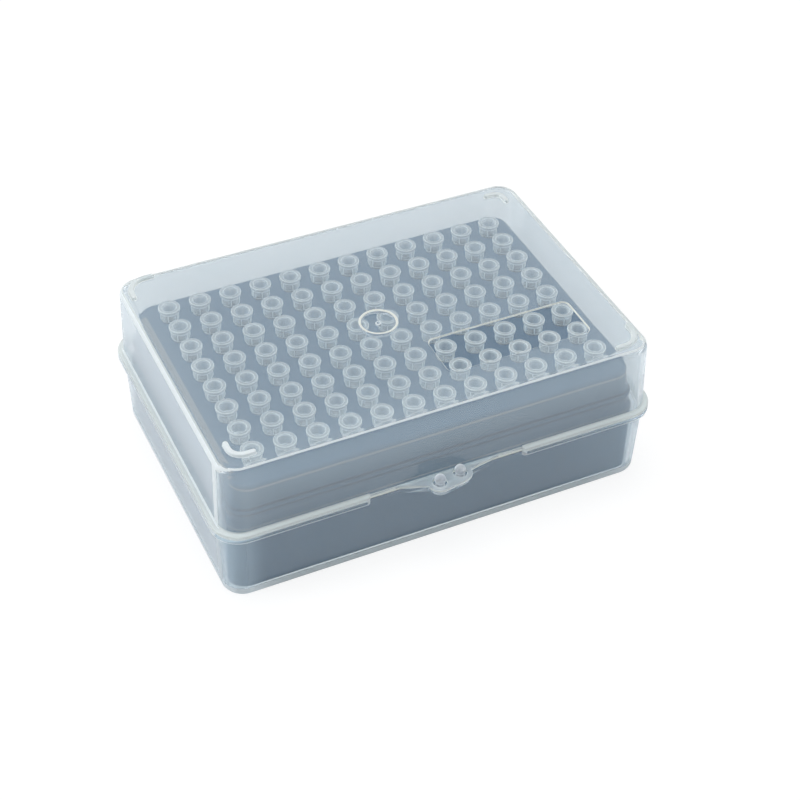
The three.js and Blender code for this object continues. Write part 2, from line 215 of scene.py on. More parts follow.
def outline(size, front_stops=()):
    """A rounded rectangle, anticlockwise, with extra stops from left to right along its front."""
    x = size.half_x - size.radius
    y = size.half_y - size.radius
    points = arc(x, y, size.radius, 0, 90, CORNER_STEPS)
    points += arc(-x, y, size.radius, 90, 180, CORNER_STEPS)
    points.append((-size.half_x, min(0.0, CORNER_BAND - y)))
    points += arc(-x, -y, size.radius, 180, 270, CORNER_STEPS)
    points += [(stop, -size.half_y) for stop in front_stops]
    points += arc(x, -y, size.radius, 270, 360, CORNER_STEPS)
    return points


def lifted(points, z):
    return [(x, y, z) for x, y in points]


def moved(points, centre):
    return [(x + centre.x, y + centre.y) for x, y in points]


def rounding(radius, flatten=1.0, steps=EDGE_STEPS):
    """(inset, rise) pairs from a wall round an edge on to a flat face. flatten scales the insets."""
    pairs = []
    for i in range(steps + 1):
        turn = math.pi / 2 * i / steps
        pairs.append((flatten * radius * (1 - math.cos(turn)), radius * (math.sin(turn) - 1)))
    return pairs


# ---- Mesh building ------------------------------------------------------------------------


def skin(bm, rings, material=WALLS, bands=None):
    """Joins a stack of rings with equal counts, and returns their vertices. bands gives the bands
    that end at some of the rings a material of their own."""
    rows = [[bm.verts.new(point) for point in ring] for ring in rings]
    for i in range(1, len(rows)):
        join_rows(bm, rows[i - 1], rows[i], (bands or {}).get(i, material))
    return rows


def join_rows(bm, low, high, material=WALLS):
    for i in range(len(low)):
        face = bm.faces.new((low[i - 1], low[i], high[i], high[i - 1]))
        face.material_index = material(face) if callable(material) else material


def fill(bm, loops, material=WALLS):
    """Fills the flat area between closed loops of vertices."""
    edges = []
    for loop in loops:
        for a, b in zip(loop, loop[1:] + loop[:1]):
            edges.append(bm.edges.get((a, b)) or bm.edges.new((a, b)))
    made = bmesh.ops.triangle_fill(bm, use_beauty=True, use_dissolve=False, edges=edges)
    for face in made["geom"]:
        if isinstance(face, bmesh.types.BMFace):
            face.material_index = material


def finished(bm, name, materials=()):
    """Turns a closed mesh in millimetres into an object in metres."""
    bmesh.ops.remove_doubles(bm, verts=bm.verts, dist=1e-4)
    bmesh.ops.recalc_face_normals(bm, faces=bm.faces)
    bmesh.ops.scale(bm, vec=(MM, MM, MM), verts=bm.verts)
    mesh = bpy.data.meshes.new(name)
    bm.to_mesh(mesh)
    bm.free()
    for material in materials:
        mesh.materials.append(material)
    made = bpy.data.objects.new(name, mesh)
    bpy.context.scene.collection.objects.link(made)
    return made


def settle(made):
    """Applies an object's modifiers to its mesh."""
    graph = bpy.context.evaluated_depsgraph_get()
    mesh = bpy.data.meshes.new_from_object(made.evaluated_get(graph))
    made.modifiers.clear()
    made.data = mesh


def coat(made, material):
    """Gives every face of an object the same one of its materials."""
    made.data.polygons.foreach_set("material_index", [material] * len(made.data.polygons))


def soften(made, width):
    """Rounds every sharp edge of an object. On a piece with materials the new faces are painted light, as
    highlights along the edges.
    """
    bevel = made.modifiers.new("edges", "BEVEL")
    bevel.width = width * MM
    bevel.segments = 2
    bevel.limit_method = "ANGLE"
    bevel.angle_limit = math.radians(40)
    bevel.material = PAINTED_LIGHT if made.data.materials else -1
    settle(made)
    return made


def weld_on(body, parts):
    """Joins solids to a body, so that no faces are left inside the plastic. Those that have no
    materials yet get the body's thick one."""
    for part in parts:
        if not part.data.materials:
            for material in body.data.materials:
                part.data.materials.append(material)
            coat(part, THICK)
        union = body.modifiers.new("join", "BOOLEAN")
        union.operation = "UNION"
        union.solver = "EXACT"
        union.object = part
        settle(body)
        bpy.data.objects.remove(part)


def shade_smooth(made, angle):
    """Shades an object smooth, apart from edges that turn by more than an angle in degrees."""
    made.data.polygons.foreach_set("use_smooth", [True] * len(made.data.polygons))
    made.data.set_sharp_from_angle(angle=math.radians(angle))


def smooth(made):
    """Shades a large piece smooth, and keeps its broad faces flat beside their rounded edges."""
    shade_smooth(made, 35)
    weighted = made.modifiers.new("normals", "WEIGHTED_NORMAL")
    weighted.keep_sharp = True
    weighted.weight = 80


def plate(points, z0, z1, holes, name, materials):
    """An outline raised from z0 to z1, with holes through it."""
    bm = bmesh.new()
    rings = [skin(bm, [lifted(loop, z0), lifted(loop, z1)]) for loop in [points] + holes]
    fill(bm, [ring[0] for ring in rings])
    fill(bm, [ring[1] for ring in rings])
    return finished(bm, name, materials)


def slab(points, x0, x1, name):
    """A closed outline in Y and Z, raised along X."""
    bm = bmesh.new()
    rows = skin(bm, [[(x, y, z) for y, z in points] for x in (x0, x1)])
    fill(bm, [rows[0]])
    fill(bm, [rows[1]])
    return finished(bm, name)


def turned(profile, centre, name, materials):
    """A solid turned about a vertical axis, from (radius, z) pairs that start and end on it."""
    bm = bmesh.new()
    rings = [lifted(circle(centre, radius), z) for radius, z in profile[1:-1]]
    rows = skin(bm, rings)
    for row, (_, z) in ((rows[0], profile[0]), (rows[-1], profile[-1])):
        middle = bm.verts.new((centre.x, centre.y, z))
        for i in range(len(row)):
            bm.faces.new((row[i - 1], row[i], middle))
    return finished(bm, name, materials)


# ---- Rims shared by the tray and the lid --------------------------------------------------


def gap_stops():
    """Stops along the front rim, close together where the flange's rounded ends turn in."""
    ends = [GAP_REACH * math.sin(math.pi / 2 * i / EDGE_STEPS) for i in range(EDGE_STEPS + 1)]
    left = [GAP_LEFT - GAP_REACH + step for step in ends]
    right = [GAP_RIGHT + GAP_REACH - step for step in reversed(ends)]
    return left + right


FRONT_STOPS = gap_stops()


def flange_at(x):
    """How far the flange stands out along the front."""
    start = GAP_LEFT - GAP_REACH
    end = GAP_RIGHT + GAP_REACH
    into = max(start, min(x, end))
    past = min(into - start, end - into) / GAP_REACH
    return RIM_BEAD + GAP_REACH * math.sqrt(max(0.0, 1 - min(past, 1.0) ** 2))


def rim_ring(size, z, share=0.0):
    """One ring of a wall, standing out by a share of the flange's reach."""
    full = Size(
        size.half_x + share * FLANGE_X,
        size.half_y + share * FLANGE_Y,
        size.radius + share * FLANGE_CORNER,
    )
    first = 3 * (CORNER_STEPS + 1) + 1
    ring = []
    for i, (x, y) in enumerate(outline(full, FRONT_STOPS)):
        if first <= i < first + len(FRONT_STOPS):
            y = -(size.half_y + share * flange_at(x))
        ring.append((x, y, z))
    return ring


def in_gap(middle):
    return middle.y < 0 and GAP_LEFT < middle.x < GAP_RIGHT


def by_gap_end(middle):
    """Whether a face is on one of the rounded ends of the flange, beside the gap."""
    from_gap = max(GAP_LEFT - middle.x, middle.x - GAP_RIGHT)
    return middle.y < 0 and 0 < from_gap < GAP_REACH


def side_light(face):
    """A painted highlight: a pale band on the left wall before the front corner."""
    face.normal_update()
    faces_left = face.normal.x < -0.9 and abs(face.normal.y) < 0.1
    by_front = face.calc_center_median().y < -TRAY_FOOT.half_y / 2
    return PAINTED_LIGHT if faces_left and by_front else WALLS


def flange_rings(size_at, z0, z1, up, lines=()):
    """The flange from its lower root to its upper one. up says which side has the wall's fillet,
    and lines are the heights of extra rings on its face."""
    edge = [(1 - inset / FLANGE_Y, rise) for inset, rise in rounding(FLANGE_EDGE)]
    root = [(FLANGE_ROOT / FLANGE_Y * (1 - math.sin(t)), FLANGE_ROOT * (1 - math.cos(t)))
            for t in (math.pi / 2 * i / EDGE_STEPS for i in range(EDGE_STEPS + 1))]
    rings = []
    if not up:
        rings += [rim_ring(size_at(z0 - rise), z0 - rise, share) for share, rise in reversed(root)]
    rings += [rim_ring(size_at(z0), z0 - rise, share) for share, rise in reversed(edge)]
    rings += [rim_ring(size_at(z), z, 1.0) for z in lines]
    rings += [rim_ring(size_at(z1), z1 + rise, share) for share, rise in edge]
    if up:
        rings += [rim_ring(size_at(z1 + rise), z1 + rise, share) for share, rise in root]
    return rings


# ---- Latch and hinge ----------------------------------------------------------------------


def latch_outline(half, face, root, radius):
    """The tab's outline: rounded round both studs, with sloping sides to the wall."""
    tilt = math.degrees(math.atan2(TAB_RIGHT.y - TAB_LEFT.y, TAB_RIGHT.x - TAB_LEFT.x))
    points = [(half, -root), (-half, -root), (-half, -face)]
    points += arc(TAB_LEFT.x, TAB_LEFT.y, radius, 180, 270 + tilt, CORNER_STEPS)
    points += arc(TAB_RIGHT.x, TAB_RIGHT.y, radius, 270 + tilt, 360, CORNER_STEPS)
    points.append((half, -face))
    return points


def latch_tab(materials):
    holes = [circle(place, STUD_HOLE) for place in (TAB_LEFT, TAB_RIGHT)]
    points = latch_outline(TAB_HALF, LID_MOUTH.half_y, LID_MOUTH.half_y - LID_WALL / 2, TAB_RADIUS)
    tab = plate(points, LID_BOTTOM, LID_BOTTOM + TAB_THICK, holes, "latch_tab", materials)
    soften(tab, TAB_ROUND)
    # The tab's lower rounded edge is painted light, as a bright rim.
    for face in tab.data.polygons:
        lower_edge = -0.95 < face.normal.z < -0.2
        upright = abs(face.normal.z) < 0.2
        face.material_index = PAINTED_LIGHT if lower_edge else THICK if upright else HAZY
    return tab


def stud_shelf(materials):
    top = TRAY_HEIGHT - SHELF_DROP
    points = latch_outline(SHELF_HALF, TRAY_MOUTH.half_y, TRAY_MOUTH.half_y - TRAY_WALL / 2, SHELF_RADIUS)
    shelf = soften(plate(points, top - SHELF_THICK, top, [], "stud_shelf", materials), SHELF_ROUND)
    coat(shelf, WALLS)
    return shelf


def stud(place, materials):
    """A ball on a short stem, with a small fillet where the stem meets the shelf."""
    top = TRAY_HEIGHT - SHELF_DROP
    foot = STUD_RADIUS + STUD_FOOT
    profile = [(0, top - SHELF_THICK / 2), (foot, top - SHELF_THICK / 2), (foot, top - 0.02)]
    profile += [(STUD_RADIUS + 0.12, top + 0.1), (STUD_RADIUS, top + STUD_FOOT)]
    neck = -math.degrees(math.acos(STUD_RADIUS / STUD_BALL))
    profile += arc(0, STUD_BALL_Z, STUD_BALL, neck, 84, 3 * EDGE_STEPS)
    profile.append((0, STUD_BALL_Z + STUD_BALL))
    made = turned(profile, place, "stud", materials)
    coat(made, HAZY)
    return made


def hinge_circle(start, end, radius):
    """An arc about the hinge's axis, in Y and Z."""
    return arc(HINGE_Y, HINGE_Z, radius, start, end, 2 * CORNER_STEPS)


def angle_of(rise, radius):
    """The angle in degrees at which a circle is at a height above its centre."""
    return math.degrees(math.asin(rise / radius))


def hinge_eye(x):
    """An open eye on an arm, which the lid's pin is pressed into from behind."""
    root = TRAY_MOUTH.half_y - TRAY_WALL / 2
    top = TRAY_HEIGHT - HINGE_INSET
    low = TRAY_HEIGHT - FLANGE_THICK + HINGE_INSET
    mouth = angle_of(SNAP_HALF, HINGE_EYE)
    points = hinge_circle(mouth, 180 - angle_of(top - HINGE_Z, HINGE_EYE), HINGE_EYE)
    points += [(root, top), (root, low)]
    points += hinge_circle(180 - angle_of(low - HINGE_Z, HINGE_EYE), 360 - mouth, HINGE_EYE)
    snap = angle_of(SNAP_HALF, HINGE_BORE)
    points += hinge_circle(360 - snap, snap, HINGE_BORE)
    return soften(slab(points, x - EYE_WIDTH / 2, x + EYE_WIDTH / 2, "hinge_eye"), HINGE_ROUND)


def hinge_ear(x0, x1):
    root = LID_MOUTH.half_y - LID_WALL / 2
    low = LID_BOTTOM + HINGE_INSET
    top = LID_BOTTOM + FLANGE_THICK - HINGE_INSET
    points = [(root, top), (root, low)]
    start = 180 - angle_of(low - HINGE_Z, HINGE_EYE)
    end = 540 - angle_of(top - HINGE_Z, HINGE_EYE)
    points += hinge_circle(start, end, HINGE_EYE)
    return soften(slab(points, x0, x1, "hinge_ear"), HINGE_ROUND)


def hinge_fork(x):
    """Two ears with the hinge pin between them."""
    inner = EYE_WIDTH / 2 + EAR_GAP
    outer = inner + EAR_THICK
    ears = [hinge_ear(x - outer, x - inner), hinge_ear(x + inner, x + outer)]
    pin = slab(arc(HINGE_Y, HINGE_Z, PIN_RADIUS, 0, 360, ROUND_SIDES // 2)[:-1],
               x - outer + EAR_THICK / 2, x + outer - EAR_THICK / 2, "hinge_pin")
    return ears + [pin]


# ---- Base tray ----------------------------------------------------------------------------


def tray_size(z):
    share = (z - TRAY_FILLET) / (TRAY_HEIGHT - TRAY_FILLET)
    return between(TRAY_FOOT, TRAY_MOUTH, min(max(share, 0.0), 1.0))


def tray_flange_light(face):
    """In front only the lower half of the tray's flange is milky, and in the gap none of it is."""
    face.normal_update()
    middle = face.calc_center_median()
    if in_gap(middle):
        return WALLS
    in_front = face.normal.y < -0.3 * face.normal.xy.length
    if by_gap_end(middle) or not in_front:
        return THICK
    return THICK if middle.z < TRAY_FLANGE_LINE else WALLS


def make_base_tray(materials):
    bm = bmesh.new()
    rings = []
    for inset, rise in reversed(rounding(TRAY_FILLET)):
        rings.append(rim_ring(grown(TRAY_FOOT, -inset), -rise))
    rings.append(rim_ring(tray_size(FOOT_BAND), FOOT_BAND))
    # The foot band is painted light: a grey milk, made paler towards both ends.
    bands = dict.fromkeys(range(1, len(rings)), PAINTED_LIGHT)
    flange_from = len(rings)
    rings += flange_rings(tray_size, TRAY_HEIGHT - FLANGE_THICK, TRAY_HEIGHT, False, [TRAY_FLANGE_LINE])
    for inset, rise in reversed(rounding(RIM_ROUND)):
        rings.append(rim_ring(grown(TRAY_MOUTH, inset - TRAY_WALL), TRAY_HEIGHT + rise))
    bands[flange_from] = side_light
    under_edge = flange_from + EDGE_STEPS + 1
    bands.update(dict.fromkeys(range(under_edge + 1, len(rings) - EDGE_STEPS), tray_flange_light))
    bands.update(dict.fromkeys(range(len(rings) - EDGE_STEPS, len(rings)), THICK))
    for inset, rise in rounding(TRAY_FLOOR_FILLET):
        rings.append(rim_ring(grown(TRAY_FOOT, -TRAY_WALL - inset), TRAY_WALL - rise))
    rows = skin(bm, rings, WALLS, bands)
    fill(bm, [rows[0]])
    fill(bm, [rows[-1]])
    tray = finished(bm, "tray", materials)
    studs = [stud(place, materials) for place in (TAB_LEFT, TAB_RIGHT)]
    weld_on(tray, [stud_shelf(materials)] + studs + [hinge_eye(-HINGE_X), hinge_eye(HINGE_X)])
    smooth(tray)
    return tray


# ---- Lid ----------------------------------------------------------------------------------


def lit_edge(face):
    """Painted highlights on the lid's rounded top edge: a thin line in
    front, a wider band at the left, and a fainter milky band at the back and at the right."""
    face.normal_update()
    outward = face.normal.xy.normalized()
    tilt = math.degrees(math.asin(abs(face.normal.z)))
    if outward.y > 0.6 or outward.x > 0.8:
        return THICK
    turn = math.degrees(math.atan2(-outward.y, -outward.x))
    to_front = min(max((turn - 5) / 55, 0.0), 1.0)
    if 45 * to_front < tilt < 45 + 15 * to_front:
        return PAINTED_LIGHT
    return THICK if tilt < 57 and turn < 25 else WALLS


def lid_flange_light(face):
    """The lid's flange is thick and milky, with painted highlight lines along its face and a painted
    highlight on its root at the left. The rim in its gap has only a painted warm highlight along its
    bottom."""
    middle = face.calc_center_median()
    if in_gap(middle):
        return PAINTED_WARM_LIGHT if middle.z < LID_BOTTOM + GAP_LINE else WALLS
    lined = any(abs(middle.z - LID_BOTTOM - height) < 2 * LINE_HALF for height in FLANGE_LINES)
    left_root = middle.x < -LID_MOUTH.half_x and middle.z > LID_BOTTOM + FLANGE_THICK
    return PAINTED_LIGHT if lined or left_root else THICK


def lid_size(z):
    share = (z - LID_BOTTOM) / (LID_TOP - LID_FILLET - LID_BOTTOM)
    return between(LID_MOUTH, LID_CROWN, min(max(share, 0.0), 1.0))


def rib_outline(sign_x, sign_y, inset, half):
    """A bent rib with round ends, drawn for the corner at +X +Y and mirrored to its own."""
    radius = RIB_BEND - inset
    bend = Place(LID_CROWN.half_x - RIB_BEND, LID_CROWN.half_y - RIB_BEND)
    leg = RIB_LEG - RIB_WIDTH / 2
    end = Place(LID_CROWN.half_x - leg, LID_CROWN.half_y - leg)
    points = arc(bend.x + radius, end.y, half, 180, 360, EDGE_STEPS * 2)
    points += arc(bend.x, bend.y, radius + half, 0, 90, CORNER_STEPS)
    points += arc(end.x, bend.y + radius, half, 90, 270, EDGE_STEPS * 2)
    points += arc(bend.x, bend.y, radius - half, 90, 0, CORNER_STEPS)
    return [(x * sign_x, y * sign_y) for x, y in points]


def stacking_rib(bm, sign_x, sign_y, inset, material):
    """Raises one rib from the lid's top, and returns the loop where it starts."""
    half = RIB_WIDTH / 2
    levels = [(half + 0.15, 0.0), (half + 0.03, 0.06), (half, 0.2)]
    levels += [(half - by, RIB_HEIGHT + rise) for by, rise in rounding(RIB_ROUND)]
    rings = [lifted(rib_outline(sign_x, sign_y, inset, width), LID_TOP + z) for width, z in levels]
    rows = skin(bm, rings, material)
    fill(bm, [rows[-1]], material)
    return rows[0]


def window_recess(bm):
    """Sinks the label window into the lid's top, and returns its upper edge."""
    levels = [(0.14, 0.0), (0.04, -0.04), (0.0, -0.14), (0.0, -WINDOW_DEPTH + 0.12)]
    levels += [(-0.04, -WINDOW_DEPTH + 0.03), (-0.14, -WINDOW_DEPTH)]
    rings = [lifted(moved(outline(grown(WINDOW_SIZE, by)), WINDOW), LID_TOP + z) for by, z in levels]
    # Its walls are painted warm light, a pale outline round the window.
    rows = skin(bm, rings, PAINTED_WARM_LIGHT)
    fill(bm, [rows[-1]], PANE)
    return rows[0]


def window_pane(bm):
    """The window's polished face under the lid's top, and its border."""
    ring = lifted(moved(outline(WINDOW_SIZE), WINDOW), LID_TOP - LID_WALL)
    border = [bm.verts.new(point) for point in ring]
    fill(bm, [border], PANE)
    return border


def gate_recess(bm):
    """Sinks the round moulding gate and raises the nub in its middle."""
    floor = -GATE_DEPTH
    levels = [(GATE_RADIUS + GATE_RING, 0.0), (GATE_RADIUS + 0.03, -0.04), (GATE_RADIUS, -0.16)]
    levels += [(GATE_RADIUS, floor + 0.2), (GATE_RADIUS - 0.06, floor + 0.06), (GATE_RADIUS - 0.2, floor)]
    rings = [lifted(circle(GATE, radius), LID_TOP + z) for radius, z in levels]
    # The ring round the gate is painted warm light.
    rows = skin(bm, rings, WALLS, {1: PAINTED_WARM_LIGHT, 2: PAINTED_WARM_LIGHT})
    top = floor + NUB_HEIGHT
    nub = [(NUB_RADIUS + 0.15, floor), (NUB_RADIUS, floor + 0.15), (NUB_RADIUS, top - 0.12)]
    nub += [(NUB_RADIUS - 0.12, top), (NUB_RADIUS - 0.32, top), (NUB_RADIUS - 0.42, top - 0.12)]
    rings = [lifted(circle(GATE, radius), LID_TOP + z) for radius, z in nub]
    # The top of the nub is painted light, as a pale ring.
    inner = skin(bm, rings, WALLS, {3: PAINTED_LIGHT, 4: PAINTED_LIGHT})
    join_rows(bm, rows[-1], inner[0])
    fill(bm, [inner[-1]])
    return rows[0]


def gate_cup(bm):
    """The gate's cup as it hangs under the lid's top, with the loop where it starts."""
    radius = GATE_RADIUS + GATE_WALL
    ceiling = LID_TOP - LID_WALL
    bottom = LID_TOP - GATE_DEPTH - GATE_SKIN
    levels = [(radius + 0.2, ceiling), (radius + 0.05, ceiling - 0.06), (radius, ceiling - 0.2)]
    levels += [(radius - 0.08, bottom + 0.08), (radius - 0.25, bottom)]
    rows = skin(bm, [lifted(circle(GATE, r), z) for r, z in levels], PANE)
    fill(bm, [rows[-1]])
    return rows[0]


def make_lid(materials):
    bm = bmesh.new()
    rings = []
    for inset, rise in reversed(rounding(LID_FILLET - LID_WALL)):
        rings.append(rim_ring(grown(LID_CROWN, -LID_WALL - inset), LID_TOP - LID_WALL + rise))
    for inset, rise in rounding(RIM_ROUND):
        rings.append(rim_ring(grown(LID_MOUTH, inset - LID_WALL), LID_BOTTOM - rise))
    flange_from = len(rings)
    lines = [LID_BOTTOM + height + by for height in FLANGE_LINES for by in (-LINE_HALF, LINE_HALF)]
    rings += flange_rings(lid_size, LID_BOTTOM, LID_BOTTOM + FLANGE_THICK, True, lines)
    bands = dict.fromkeys(range(flange_from - EDGE_STEPS, flange_from), THICK)
    bands.update(dict.fromkeys(range(flange_from, len(rings)), lid_flange_light))
    for inset, rise in rounding(LID_FILLET, steps=FILLET_STEPS):
        bands[len(rings)] = lit_edge
        rings.append(rim_ring(grown(LID_CROWN, -inset), LID_TOP + rise))
    bands[len(rings) - FILLET_STEPS - 1] = side_light
    rows = skin(bm, rings, WALLS, bands)
    fill(bm, [rows[0], gate_cup(bm), window_pane(bm)])
    features = [window_recess(bm), gate_recess(bm)] + [stacking_rib(bm, *rib) for rib in RIBS]
    fill(bm, [rows[-1]] + features)
    lid = finished(bm, "hinged_lid", materials)
    weld_on(lid, [latch_tab(materials)] + hinge_fork(-HINGE_X) + hinge_fork(HINGE_X))
    smooth(lid)
    return lid


# ---- Tip rack -----------------------------------------------------------------------------


def sag_at(x, y):
    """How far the thin deck and its tips have bowed down."""
    across_x = max(0.0, 1 - (x / SAG_HALF.x) ** 2)
    across_y = max(0.0, 1 - (y / SAG_HALF.y) ** 2)
    return DECK_SAG * across_x * across_y


def grid_place(column, row):
    return Place((column - (COLUMNS - 1) / 2) * TIP_PITCH, ((ROWS - 1) / 2 - row) * TIP_PITCH)


def square_round(centre):
    """Points on a grid square's border, in line with the corners of its round hole."""
    half = TIP_PITCH / 2
    points = []
    for x, y in circle(Place(0, 0), 1.0, HOLE_SIDES):
        reach = half / max(abs(x), abs(y))
        points.append((centre.x + x * reach, centre.y + y * reach))
    return points


def deck_cell(bm, place):
    """One grid square of the deck, above and below, with its hole between."""
    low = DECK_TOP - DECK_THICK
    levels = [(HOLE_RADIUS + HOLE_EDGE, DECK_TOP), (HOLE_RADIUS, DECK_TOP - HOLE_EDGE)]
    levels.append((HOLE_RADIUS, low))
    rings = [lifted(square_round(place), DECK_TOP)]
    rings += [lifted(circle(place, radius, HOLE_SIDES), z) for radius, z in levels]
    rings.append(lifted(square_round(place), low))
    skin(bm, rings)


def grid_border(z):
    """The outer border of the whole grid of squares, anticlockwise, with the squares' own stops."""
    half_x = COLUMNS * TIP_PITCH / 2
    half_y = ROWS * TIP_PITCH / 2
    found = {}
    for column in range(COLUMNS):
        for row in range(ROWS):
            for x, y in square_round(grid_place(column, row)):
                if abs(abs(x) - half_x) < CLOSE or abs(abs(y) - half_y) < CLOSE:
                    found[(round(x, 4), round(y, 4))] = (x, y)

    def along(point):
        x, y = point
        if abs(x - half_x) < CLOSE:
            return y + half_y
        if abs(y - half_y) < CLOSE:
            return 2 * half_y + half_x - x
        if abs(x + half_x) < CLOSE:
            return 2 * (half_y + half_x) + half_y - y
        return 2 * (2 * half_y + half_x) + half_x + x

    return lifted(sorted(found.values(), key=along), z)


def rack_light(face):
    """The rounded edge of the rack's deck has a painted sheen at the left, and elsewhere only a painted
    line where it starts.
    """
    middle = face.calc_center_median()
    at_left = middle.x < SHEEN_WIDTH - RACK_DECK.half_x
    if at_left and abs(middle.y) < RACK_DECK.half_y - RACK_DECK.radius:
        return PAINTED_SHEEN if middle.z > DECK_TOP - DECK_FILLET / 2 else BODY
    return PAINTED_SHEEN if middle.z < DECK_TOP - DECK_FILLET else BODY


def rounded(size, z, radius, flatten, materials):
    """Rings round a step's edge, each with the material of the band that ends there."""
    turns = zip(rounding(radius, flatten), materials)
    return [(grown(size, -inset), z + rise, material) for (inset, rise), material in turns]


def above_step(size, step):
    """The slightly hollow foot of the wall that stands above a step's slope."""
    return [(grown(size, 0.1), step + STEP_SLOPE - 0.2, BODY), (size, step + STEP_SLOPE + 0.3, BODY)]


def rack_outside():
    """(size, z, material of the band that ends there) from the rack's foot up to its deck."""
    plain = [BODY] * (EDGE_STEPS + 1)
    foot = reversed(rounding(RACK_FOOT_ROUND))
    rings = [(grown(RACK_FOOT, -inset), RACK_BOTTOM - rise, BODY) for inset, rise in foot]
    rings.append((RACK_SKIRT, LOWER_STEP - LOWER_ROUND, BODY))
    # The lower step's rounded edge carries a painted sheen line.
    rings += rounded(RACK_SKIRT, LOWER_STEP, LOWER_ROUND, 0.5, [BODY, BODY, PAINTED_SHEEN, PAINTED_SHEEN, BODY])
    rings += above_step(RACK_WAIST, LOWER_STEP)
    # Thin bands of painted shade, darker blue, run below the upper step and on its slope.
    rings += [(RACK_LEDGE, UPPER_STEP - 1.6, BODY), (RACK_LEDGE, UPPER_STEP - 1.0, PAINTED_LEDGE_SHADE)]
    rings += rounded(RACK_LEDGE, UPPER_STEP, UPPER_ROUND, 0.5, plain)
    rings.append((grown(RACK_LEDGE, -0.55), UPPER_STEP + 0.6, PAINTED_LEDGE_SHADE))
    rings += above_step(RACK_BLOCK, UPPER_STEP)
    rings.append((RACK_DECK, DECK_TOP - DECK_FILLET - 0.8, BODY))
    rings += rounded(RACK_DECK, DECK_TOP, DECK_FILLET, 1.0, [rack_light] * (EDGE_STEPS + 1))
    rings.append((grown(RACK_DECK, -SHEEN_WIDTH), DECK_TOP, rack_light))
    return rings


def make_tip_rack(materials):
    bm = bmesh.new()
    inside = [(RACK_DECK, DECK_TOP - DECK_THICK), (RACK_BLOCK, LOWER_STEP + STEP_SLOPE)]
    inside += [(RACK_SKIRT, LOWER_STEP), (RACK_FOOT, RACK_BOTTOM)]
    levels = [(grown(size, -RACK_WALL), z, BODY) for size, z in inside] + rack_outside()
    rings = [lifted(outline(size, (-20, 20)), z) for size, z, _ in levels]
    rows = skin(bm, rings, BODY, {i: level[2] for i, level in enumerate(levels)})
    for column in range(COLUMNS):
        for row in range(ROWS):
            deck_cell(bm, grid_place(column, row))
    top = [bm.verts.new(point) for point in grid_border(DECK_TOP)]
    fill(bm, [rows[-1], top])
    low = [bm.verts.new(point) for point in grid_border(DECK_TOP - DECK_THICK)]
    fill(bm, [rows[0], low])
    for vert in bm.verts:
        if vert.co.z > DECK_TOP - DECK_THICK - DECK_FILLET:
            vert.co.z -= sag_at(vert.co.x, vert.co.y)
    rack = finished(bm, "blue_tip_rack", materials)
    smooth(rack)
    return rack


# ---- Pipette tips -------------------------------------------------------------------------


def tip_profile():
    """(radius, z, material of the band that ends there) from the bore's mouth down inside to the
    point, and back up outside over the hub and the collar."""
    shaft_end = TIP_SEAT + 8.0
    # The palest bands, at the bore's mouth, the hub's foot and the collar's edges, are painted
    # highlights.
    inside = [(2.52, -0.05, WALLS), (2.42, 0.0, THICK), (2.14, 0.0, THICK), (2.02, -0.05, PAINTED_LIGHT),
              (1.94, -0.2, PAINTED_LIGHT), (1.9, -0.5, WALLS), (1.84, -3.0, THICK), (1.7, -shaft_end, WALLS)]
    point = [(0.25, -TIP_LENGTH, WALLS), (0.5, -TIP_LENGTH, WALLS), (1.9, -shaft_end, WALLS)]
    seat = [(2.12, -TIP_SEAT - 0.25, WALLS), (2.2, -TIP_SEAT, WALLS), (2.42, -TIP_SEAT, THICK)]
    hub = [(2.6, -TIP_SEAT + 0.12, PAINTED_LIGHT), (2.6, -TIP_SEAT + 0.3, PAINTED_LIGHT), (2.6, -1.75, hub_light)]
    collar = [(2.64, -1.4, hub_light), (2.8, -1.16, THICK), (2.97, -0.95, PAINTED_LIGHT), (3.04, -0.6, THICK),
              (3.05, -0.2, THICK), (3.0, -0.04, PAINTED_LIGHT), (2.86, 0.0, PAINTED_LIGHT), (2.78, -0.05, THICK)]
    return inside + point + seat, hub, collar


def hub_light(face):
    """Painted highlights run down the narrow ribs of a tip's hub."""
    middle = face.calc_center_median()
    turn = math.degrees(math.atan2(middle.y, middle.x)) % (360 / HUB_RIBS)
    return PAINTED_LIGHT if turn < 360 / HUB_RIBS / RIB_STEPS else WALLS


def make_tip_mesh():
    """One tip about its own axis, its collar's top at z = 0, with fine ribs on the hub."""
    sides = HUB_RIBS * RIB_STEPS
    body, hub, collar = tip_profile()
    bm = bmesh.new()
    rings = []
    ribbed = [z for _, z, _ in hub[1:]]
    for radius, z, _ in body + hub + collar:
        rib = HUB_RIB_HEIGHT if z in ribbed else 0.0
        ring = []
        for i, (x, y) in enumerate(circle(Place(0, 0), 1.0, sides)):
            reach = radius + (rib if i % RIB_STEPS < 2 else 0.0)
            ring.append((x * reach, y * reach, z))
        rings.append(ring)
    bands = {i: band[2] for i, band in enumerate(body + hub + collar)}
    rows = skin(bm, rings, WALLS, bands)
    join_rows(bm, rows[-1], rows[0], THICK)
    made = finished(bm, "tip_pattern")
    shade_smooth(made, 38)
    mesh = made.data
    bpy.data.objects.remove(made)
    return mesh


